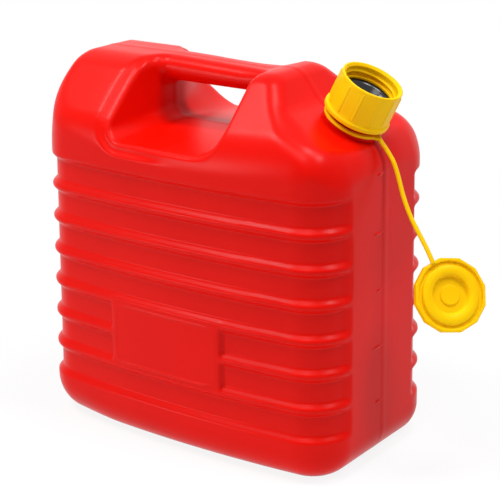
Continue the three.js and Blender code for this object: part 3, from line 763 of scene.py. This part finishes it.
def can_shell(material):
    """The can's ribbed outside and its plain hollow, joined at the neck's hole."""
    edges_x = (opening_left, opening_right, PANEL_CENTRE - PANEL_WIDTH / 2, PANEL_CENTRE + PANEL_WIDTH / 2)
    edges_y = (-STRIP_WIDTH / 2, STRIP_WIDTH / 2)
    lines_z = (panel_low + PANEL_BORDER, panel_high - PANEL_BORDER)
    marks_z = [LEVEL_LOWEST + level_pitch * mark for mark in range(LEVEL_MARKS)]
    ribs_top = rib_height(RIB_COUNT)
    fine_x = [zone(edge, edge, EDGE_ZONE) for edge in edges_x]
    fine_y = [zone(0, 0, PARTING_ZONE), zone(0, 0, LEVEL_ACROSS_ZONE)]
    fine_y += [zone(edge, edge, STRIP_ZONE) for edge in edges_y]
    fine_z = [zone(rib_height(-1), ribs_top, RIBS_ZONE), zone(ribs_top, HEIGHT, SHOULDER_ZONE)]
    fine_z += [zone(mark, mark, LEVEL_UP_ZONE) for mark in marks_z]
    fine_z += [zone(line, line, PANEL_LINE_ZONE) for line in lines_z]
    outer = surface(can_form, (
        grid_lines(-WIDTH / 2 - GRID_REACH, WIDTH / 2 + GRID_REACH, GRID_STEP, fine_x),
        grid_lines(-DEPTH / 2 - GRID_REACH, DEPTH / 2 + GRID_REACH, GRID_STEP, fine_y),
        grid_lines(-GRID_REACH, HEIGHT + GRID_REACH, GRID_LAYER, fine_z),
    ))
    inner = surface(hollow_form, (
        grid_lines(-WIDTH / 2, WIDTH / 2, HOLLOW_STEP),
        grid_lines(-DEPTH / 2, DEPTH / 2, HOLLOW_STEP),
        grid_lines(0, HEIGHT, HOLLOW_STEP),
    ))
    outer_points, outer_faces = neck_hole(*outer)
    inner_points, inner_faces = neck_hole(*inner)
    points = np.concatenate([outer_points, inner_points])
    faces = np.concatenate([outer_faces, inner_faces[:, ::-1] + len(outer_points)])
    used, renumbered = np.unique(faces, return_inverse=True)
    piece = make_piece("can_shell", points[used], renumbered.reshape(-1, 4), material)
    bridge_rims(piece.data)
    return dress(piece, "can", "can_plastic", "can_body")


# Pieces on the neck

def can_neck(material):
    """The neck with its thread, and the bead under the tether ring."""
    profile = refined(rounded([
        (NECK_BORE_RADIUS, -NECK_ROOT_DEPTH, 0), (BEAD_RADIUS, -NECK_ROOT_DEPTH, 0),
        (BEAD_RADIUS, BEAD_HEIGHT, SOFT), (NECK_RADIUS, BEAD_HEIGHT, CRISP),
        (NECK_RADIUS, NECK_HEIGHT, EASED), (NECK_BORE_RADIUS, NECK_HEIGHT, EASED),
    ]), PROFILE_STEPS["neck"])

    def shape(radius, height, angle):
        is_outside = np.abs(radius - NECK_RADIUS) < NECK_TOLERANCE
        return radius + is_outside * thread_ridge(height, angle, THREAD)

    piece = make_piece("can_neck", *turned(profile, shape=shape), material, neck_place)
    return dress(piece, "can", "can_plastic")


def screw_collar(material):
    """The collar: flats outside, a ledge over the spout's flange, and threads in its bore and mouth."""
    flange_top = COLLAR_FOOT + FLANGE_HEIGHT
    lip = MOUTH_RADIUS + LIP_BEVEL
    profile = refined(rounded([
        (COLLAR_BORE, COLLAR_FOOT, SHARP), (FLANGE_RADIUS, COLLAR_FOOT, FLANGE_FOOT_EDGE),
        (FLANGE_RADIUS, flange_top, FLANGE_TOP_EDGE), (COLLAR_RADIUS, flange_top, SOFT),
        (COLLAR_RADIUS, COLLAR_TOP, SOFT), (lip, COLLAR_TOP, TIGHT),
        (MOUTH_RADIUS, COLLAR_TOP - LIP_BEVEL, SOFT), (MOUTH_RADIUS, LEDGE_RING_TOP, SHARP),
        (LEDGE_RING_RADIUS, LEDGE_RING_TOP, TIGHT), (LEDGE_RING_RADIUS, LEDGE_RING_FOOT, CRISP),
        (COLLAR_BORE, LEDGE_RING_FOOT, CRISP),
    ]), PROFILE_STEPS["collar"])
    flat_low = flange_top + FLAT_MARGIN
    flat_high = COLLAR_TOP - FLAT_MARGIN

    def shape(radius, height, angle):
        pitch = 2 * np.pi / FLAT_COUNT
        from_middle = np.mod(angle - FLAT_PHASE, pitch) - pitch / 2
        flat = np.minimum(radius, (COLLAR_RADIUS - FLAT_DEPTH) / np.cos(from_middle))
        flat = flat + FLAT_RIDGE * (1 - smooth_step(pitch / 2 - np.abs(from_middle), 0, FLAT_RIDGE_SPAN))
        above_foot = smooth_step(height, flat_low - FLAT_FADE, flat_low)
        under_top = 1 - smooth_step(height, flat_high - FLAT_FADE, flat_high)
        share = above_foot * under_top
        is_grip = radius > COLLAR_RADIUS - RADIUS_TOLERANCE
        is_mouth = np.abs(radius - MOUTH_RADIUS) < RADIUS_TOLERANCE
        is_bore = np.abs(radius - COLLAR_BORE) < RADIUS_TOLERANCE
        shaped = np.where(is_grip, radius + (flat - radius) * share, radius)
        shaped = shaped + (is_mouth & (height > LEDGE_RING_TOP)) * thread_ridge(height, angle, MOUTH_THREAD)
        return shaped + (is_bore & (height < LEDGE_RING_FOOT)) * thread_ridge(height, angle, COLLAR_THREAD)

    piece = make_piece("screw_collar", *turned(profile, shape=shape), material, neck_place)
    return dress(piece, "collar", "closure_plastic", "collar")


def pouring_spout(material):
    """The stored spout: its flange on top, its ribbed bend zone, and its tip down in the can."""
    waist = SPOUT_RADIUS - SPOUT_RIB_DEPTH
    ribs_foot = SPOUT_RIBS_TOP - SPOUT_RIBS * SPOUT_RIB_PITCH
    tip = ribs_foot - SPOUT_TIP_LENGTH
    corners = [
        (SPOUT_RADIUS, SPOUT_FLANGE_FOOT, TIGHT), (SPOUT_FLANGE_RADIUS, SPOUT_FLANGE_FOOT, TIGHT),
        (SPOUT_FLANGE_RADIUS, SPOUT_FLANGE_TOP, TIGHT),
        (SPOUT_RADIUS + SPOUT_LIP, SPOUT_FLANGE_TOP, SPOUT_FUNNEL_EDGE),
        (SPOUT_BORE_RADIUS, SPOUT_FLANGE_TOP - SPOUT_FUNNEL, SPOUT_FUNNEL_EDGE),
        (SPOUT_BORE_RADIUS, ribs_foot, SPOUT_FUNNEL_EDGE),
        (SPOUT_TIP_RADIUS - SPOUT_TIP_WALL, tip, EASED), (SPOUT_TIP_RADIUS, tip, SOFT),
        (waist, ribs_foot, FULL),
    ]
    for rib in reversed(range(SPOUT_RIBS)):
        middle = SPOUT_RIBS_TOP - SPOUT_RIB_PITCH * (rib + 0.5)
        corners.append((SPOUT_RADIUS, middle, SPOUT_RIB_EDGE))
        corners.append((waist, middle + SPOUT_RIB_PITCH / 2, SPOUT_RIB_EDGE))
    corners.append((SPOUT_RADIUS, SPOUT_RIBS_TOP + SPOUT_RIB_DEPTH, FULL))
    profile = refined(rounded(corners), PROFILE_STEPS["spout"])
    piece = make_piece("pouring_spout", *turned(profile), material, neck_place)
    return dress(piece, "spout", "spout_plastic", "spout")


def washer(name, size, material, place):
    """A flat rubber ring."""
    inner, outer, foot = size["inner"], size["outer"], size["foot"]
    top = foot + size["height"]
    corners = ((inner, foot), (outer, foot), (outer, top), (inner, top))
    profile = rounded([(radius, height, GASKET_EDGE) for radius, height in corners])
    return make_piece(name, *turned(profile), material, place)


def neck_ring(material):
    """The tether ring, with a lug where the strap starts."""
    top = RING_FOOT + RING_HEIGHT
    profile = refined(rounded([
        (RING_BORE_RADIUS, RING_FOOT, SHARP), (RING_RADIUS, RING_FOOT, FULL),
        (RING_RADIUS, top, RING_TOP_EDGE), (RING_BORE_RADIUS, top, SHARP),
    ]), PROFILE_STEPS["ring"])

    def shape(radius, height, angle):
        sideways = RING_RADIUS * np.abs(np.sin(angle)) + RING_RADIUS * (np.cos(angle) < 0)
        edge = LUG_WIDTH / 2
        lug = LUG_REACH * (1 - smooth_step(sideways, edge - LUG_EDGE_IN, edge + LUG_EDGE_OUT))
        share = (radius - RING_BORE_RADIUS) / (RING_RADIUS - RING_BORE_RADIUS)
        return radius + lug * share

    piece = make_piece("neck_ring", *turned(profile, shape=shape), material, neck_place)
    return dress(piece, "tether_ring", "closure_plastic", "tether_ring")


# Strap and stopper

strap_points = [Vector((x, 0, z)) for x, z in STRAP_ROUTE]
flat_radius = GRIP_RADIUS * math.cos(math.pi / GRIP_SIDES)


def curve_through(points, parts):
    """A smooth line through points, each span in a number of parts."""
    line = []
    ends = [2 * points[0] - points[1], *points, 2 * points[-1] - points[-2]]
    for a, b, c, d in zip(ends, ends[1:], ends[2:], ends[3:]):
        for part in range(parts):
            t = part / parts
            slope = c - a
            bend = 2 * a - 5 * b + 4 * c - d
            twist = 3 * b - a - 3 * c + d
            line.append(b + (slope * t + bend * t**2 + twist * t**3) / 2)
    return [*line, points[-1]]


def oval_tube(path):
    """Points and quads of the strap's oval section along a path in the plane Y = 0, with closed ends."""
    angle = 2 * np.pi * np.arange(STRAP_SIDES) / STRAP_SIDES
    rings = []
    for i, middle in enumerate(path):
        way = (path[min(i + 1, len(path) - 1)] - path[max(i - 1, 0)]).normalized()
        across = way.cross(Vector((0, 1, 0)))
        ring = np.array(middle) + np.outer(np.cos(angle), (0, STRAP_WIDTH / 2, 0))
        rings.append(ring + np.outer(np.sin(angle), np.array(across) * STRAP_THICKNESS / 2))
    caps = [np.repeat([np.array(end)], STRAP_SIDES, axis=0) for end in (path[0], path[-1])]
    points = np.concatenate([caps[0], *rings, caps[1]])
    row = np.arange(len(rings) + 1)[:, None] * STRAP_SIDES
    after_row = row + STRAP_SIDES
    side = np.arange(STRAP_SIDES)[None, :]
    after_side = (side + 1) % STRAP_SIDES
    corners = [row + side, after_row + side, after_row + after_side, row + after_side]
    return points, np.stack(corners, axis=-1).reshape(-1, 4)


def tether_strap(material):
    """The strap, sunk a little into the ring and the stopper, which hangs from it."""
    line = curve_through(strap_points, STRAP_SPAN_PARTS)
    sunk = line[0] + (line[0] - line[1]).normalized() * STRAP_SINK
    seated = line[-1] + (line[-1] - line[-2]).normalized() * STRAP_SINK
    path = [sunk, *line, seated]
    piece = make_piece("strap", *oval_tube(path), material)
    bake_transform(piece)
    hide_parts("tether_strap")
    return piece


def stopper_place():
    """Where the stopper hangs: at the strap's end, its face turned about the strap's line and leaning."""
    way = (strap_points[-1] - strap_points[-2]).normalized()
    face = Matrix.Rotation(STOPPER_TURN, 3, way) @ way.cross(Vector((0, 1, 0)))
    outwards = Matrix.Rotation(STOPPER_LEAN, 3, face) @ way
    centre = strap_points[-1] + outwards * (flat_radius + STOPPER_GAP)
    turn = Matrix((face.cross(outwards), -outwards, face)).transposed().to_4x4()
    return Matrix.Translation(centre * MM) @ turn


def stopper_cap(material, place):
    """The stopper: a grip with flat sides, a ring and a boss on its face, and a threaded plug behind."""
    rim = flat_radius - RIM_WIDTH
    ring_middle = (FACE_RING_INNER + FACE_RING_OUTER) / 2
    ring_side = FACE_RING_RISE - FACE_RING_CROWN
    boss_top = BOSS_RISE - FACE_RECESS_DEPTH
    plug_end = -GRIP_THICKNESS - PLUG_LENGTH
    profile = refined(rounded([
        (0, boss_top, 0), (BOSS_RADIUS, boss_top, SOFT),
        (BOSS_RADIUS + FACE_DRAFT, -FACE_RECESS_DEPTH, EASED),
        (FACE_RING_INNER - RECESS_FLOOR_INSET, -FACE_RECESS_DEPTH, SOFT),
        (FACE_RING_INNER + RECESS_TOP_FLARE, ring_side, FACE_RING_INNER_EDGE),
        (ring_middle, FACE_RING_RISE + FACE_RING_TIP, FACE_RING_CROWN_RADIUS),
        (FACE_RING_OUTER - FACE_DRAFT, ring_side, FACE_RING_OUTER_EDGE),
        (FACE_RING_OUTER, -RIM_GROOVE_DEPTH, TIGHT), (rim, -RIM_GROOVE_DEPTH, SHARP),
        (rim + FACE_DRAFT, 0, TIGHT), (flat_radius, 0, GRIP_FACE_EDGE),
        (flat_radius, -GRIP_THICKNESS, FULL), (PLUG_RADIUS, -GRIP_THICKNESS, SHARP),
        (PLUG_RADIUS, plug_end, EASED), (PLUG_RADIUS - PLUG_WALL, plug_end, EASED),
        (PLUG_RADIUS - PLUG_WALL, -GRIP_THICKNESS, SOFT),
        (0, -GRIP_THICKNESS, 0),
    ], closed=False), PROFILE_STEPS["stopper"], closed=False)[::-1]

    def shape(radius, height, angle):
        pitch = 2 * np.pi / GRIP_SIDES
        from_middle = np.mod(angle + pitch / 2, pitch) - pitch / 2
        grown = 1 / np.cos(from_middle)
        share = smooth_step(radius, rim, flat_radius - GRIP_EDGE)
        is_plug = (np.abs(radius - PLUG_RADIUS) < RADIUS_TOLERANCE) & (height < -GRIP_THICKNESS)
        return radius * (1 + (grown - 1) * share) + is_plug * thread_ridge(height, angle, PLUG_THREAD)

    piece = make_piece("stopper_cap", *turned(profile, closed=False, shape=shape), material, place)
    return dress(piece, "stopper", "closure_plastic", "stopper")


# Materials

def moulded(name, colour, deep_colour, roughness, specular, grain):
    """Moulded plastic or rubber: faint patches of colour and gloss, a slow waviness and a fine grain."""
    material = bpy.data.materials.new(name)
    material.use_nodes = True
    nodes = material.node_tree.nodes
    link = material.node_tree.links.new
    shader = nodes["Principled BSDF"]
    shader.inputs["Specular IOR Level"].default_value = specular
    place = nodes.new("ShaderNodeTexCoord").outputs["Object"]

    def noise(look):
        texture = nodes.new("ShaderNodeTexNoise")
        texture.inputs["Scale"].default_value = look["scale"]
        texture.inputs["Detail"].default_value = look["detail"]
        link(place, texture.inputs["Vector"])
        return texture.outputs["Fac"]

    patches = noise(PATCHES)
    tint = nodes.new("ShaderNodeMix")
    tint.data_type = "RGBA"
    tint.inputs["A"].default_value = (*deep_colour, 1)
    tint.inputs["B"].default_value = (*colour, 1)
    spread = nodes.new("ShaderNodeMapRange")
    spread.inputs["From Min"].default_value = PATCHES["low"]
    spread.inputs["From Max"].default_value = PATCHES["high"]
    link(patches, spread.inputs["Value"])
    link(spread.outputs["Result"], tint.inputs["Factor"])
    link(tint.outputs["Result"], shader.inputs["Base Color"])

    gloss = nodes.new("ShaderNodeMapRange")
    gloss.inputs["To Min"].default_value = roughness - GLOSS["spread"]
    gloss.inputs["To Max"].default_value = roughness + GLOSS["spread"]
    link(noise(GLOSS), gloss.inputs["Value"])
    link(gloss.outputs["Result"], shader.inputs["Roughness"])

    wave = nodes.new("ShaderNodeBump")
    wave.inputs["Strength"].default_value = WAVE["strength"]
    wave.inputs["Distance"].default_value = WAVE["depth"] * MM
    link(noise(WAVE), wave.inputs["Height"])
    fine = nodes.new("ShaderNodeBump")
    fine.inputs["Strength"].default_value = grain
    fine.inputs["Distance"].default_value = GRAIN["depth"] * MM
    link(noise(GRAIN), fine.inputs["Height"])
    link(wave.outputs["Normal"], fine.inputs["Normal"])
    link(fine.outputs["Normal"], shader.inputs["Normal"])
    return material


def seen_directly(nodes, link):
    """1 for rays from the camera, from gloss and through glass, and 0 for the rest."""
    path = nodes.new("ShaderNodeLightPath")
    seen = path.outputs["Is Camera Ray"]
    for other in ("Is Glossy Ray", "Is Transmission Ray"):
        either = nodes.new("ShaderNodeMath")
        either.operation = "MAXIMUM"
        link(seen, either.inputs[0])
        link(path.outputs[other], either.inputs[1])
        seen = either.outputs[0]
    return seen


# Stage: camera, world, floor and lamps, in metres

CLIP_END = 50
FLOOR_SIZE = 30
FLOOR_COLOUR = (0.86, 0.86, 0.86)
FLOOR_NEAR = 0.2
FLOOR_FAR = 0.6
FLOOR_NEAR_GLOW = 0.88
AMBIENT = 0.18
LAMP_TARGET = (0, 0, 0.15)
LAMPS = (
    {"name": "top_box", "from": (0.42, 0.07, 2.1), "size": (0.5, 0.5), "power": 15},
    {"name": "side_box", "from": (1.21, 0.19, 1.98), "size": (0.5, 0.5), "power": 17},
    {"name": "near_box", "from": (0.25, -0.95, 2.0), "size": (0.9, 0.9), "power": 13},
    {"name": "left_box", "from": (-0.82, -0.72, 1.95), "size": (0.6, 0.6), "power": 22},
    {"name": "front_box", "from": (-1.22, -1.84, 0.5), "size": (0.5, 0.5), "power": 9},
)


def place_camera():
    """The camera at the photograph's view."""
    camera = bpy.data.objects.new("camera", bpy.data.cameras.new("camera"))
    camera.data.lens = VIEW_LENS
    camera.data.sensor_width = VIEW_SENSOR
    camera.data.clip_end = CLIP_END
    right = Vector((math.cos(VIEW_AZIMUTH), math.sin(VIEW_AZIMUTH), 0))
    level = math.cos(VIEW_ELEVATION)
    back = Vector((
        math.sin(VIEW_AZIMUTH) * level,
        -math.cos(VIEW_AZIMUTH) * level,
        math.sin(VIEW_ELEVATION),
    ))
    upright = Matrix((right, back.cross(right), back)).transposed()
    roll = Matrix.Rotation(VIEW_ROLL, 3, "Z")
    centre = (VIEW_TARGET + back * VIEW_DISTANCE) * MM
    camera.matrix_world = Matrix.Translation(centre) @ (upright @ roll).to_4x4()
    scene.collection.objects.link(camera)
    scene.camera = camera


def light_world():
    """A faint even light on the can, and a white background for what is seen directly."""
    world = bpy.data.worlds.new("studio")
    scene.world = world
    world.use_nodes = True
    nodes = world.node_tree.nodes
    link = world.node_tree.links.new
    nodes.clear()
    soft = nodes.new("ShaderNodeBackground")
    soft.inputs["Color"].default_value = (*WHITE, 1)
    soft.inputs["Strength"].default_value = AMBIENT
    seen = nodes.new("ShaderNodeBackground")
    seen.inputs["Color"].default_value = (*WHITE, 1)
    seen.inputs["Strength"].default_value = 1
    mix = nodes.new("ShaderNodeMixShader")
    link(seen_directly(nodes, link), mix.inputs[0])
    link(soft.outputs[0], mix.inputs[1])
    link(seen.outputs[0], mix.inputs[2])
    link(mix.outputs[0], nodes.new("ShaderNodeOutputWorld").inputs[0])


def lay_floor():
    """A floor that shows the can's shadow and fades into the white background."""
    material = bpy.data.materials.new("floor")
    material.use_nodes = True
    nodes = material.node_tree.nodes
    link = material.node_tree.links.new
    nodes.clear()
    matt = nodes.new("ShaderNodeBsdfDiffuse")
    matt.inputs["Color"].default_value = (*FLOOR_COLOUR, 1)
    glow = nodes.new("ShaderNodeEmission")
    glow.inputs["Color"].default_value = (*WHITE, 1)
    glow.inputs["Strength"].default_value = 1
    distance = nodes.new("ShaderNodeVectorMath")
    distance.operation = "LENGTH"
    link(nodes.new("ShaderNodeTexCoord").outputs["Object"], distance.inputs[0])
    spread = nodes.new("ShaderNodeMapRange")
    spread.interpolation_type = "SMOOTHSTEP"
    spread.inputs["From Min"].default_value = FLOOR_NEAR
    spread.inputs["From Max"].default_value = FLOOR_FAR
    spread.inputs["To Min"].default_value = FLOOR_NEAR_GLOW
    link(distance.outputs["Value"], spread.inputs["Value"])
    share = nodes.new("ShaderNodeMath")
    share.operation = "MULTIPLY"
    link(seen_directly(nodes, link), share.inputs[0])
    link(spread.outputs["Result"], share.inputs[1])
    mix = nodes.new("ShaderNodeMixShader")
    link(share.outputs[0], mix.inputs[0])
    link(matt.outputs[0], mix.inputs[1])
    link(glow.outputs[0], mix.inputs[2])
    link(mix.outputs[0], nodes.new("ShaderNodeOutputMaterial").inputs[0])
    mesh = bpy.data.meshes.new("floor")
    half = FLOOR_SIZE / 2
    corners = [(-half, -half, 0), (half, -half, 0), (half, half, 0), (-half, half, 0)]
    mesh.from_pydata(corners, [], [(0, 1, 2, 3)])
    mesh.materials.append(material)
    floor = bpy.data.objects.new("floor", mesh)
    scene.collection.objects.link(floor)


def hang_lamps():
    """The soft boxes, all aimed at the can."""
    for lamp in LAMPS:
        data = bpy.data.lights.new(lamp["name"], "AREA")
        data.shape = "RECTANGLE"
        data.size, data.size_y = lamp["size"]
        data.energy = lamp["power"]
        box = bpy.data.objects.new(lamp["name"], data)
        box.location = lamp["from"]
        aim = Vector(LAMP_TARGET) - box.location
        box.rotation_euler = aim.to_track_quat("-Z", "Y").to_euler()
        scene.collection.objects.link(box)


place_camera()
red_plastic = moulded("red_polyethylene", RED, DEEP_RED, roughness=0.3, specular=0.1, grain=0.06)
yellow_plastic = moulded(
    "yellow_polyethylene", YELLOW, DEEP_YELLOW, roughness=0.32, specular=0.05, grain=0.06)
black_plastic = moulded("black_polyethylene", BLACK, DEEP_BLACK, roughness=0.2, specular=0.4, grain=0.08)
rubber = moulded("black_rubber", RUBBER, DEEP_RUBBER, roughness=0.7, specular=0.3, grain=0.2)

hang_place = stopper_place()
cap = stopper_cap(yellow_plastic, hang_place)
cap_seal = washer("stopper_seal", STOPPER_GASKET, rubber, hang_place)
dress(cap_seal, "stopper", "seal_rubber", "stopper_gasket")
tether_strap(yellow_plastic)
can_shell(red_plastic)
can_neck(red_plastic)
neck_ring(yellow_plastic)
screw_collar(yellow_plastic)
pouring_spout(black_plastic)
neck_seal = washer("neck_seal", NECK_GASKET, rubber, neck_place)
dress(neck_seal, "spout", "seal_rubber", "neck_gasket")

light_world()
lay_floor()
hang_lamps()
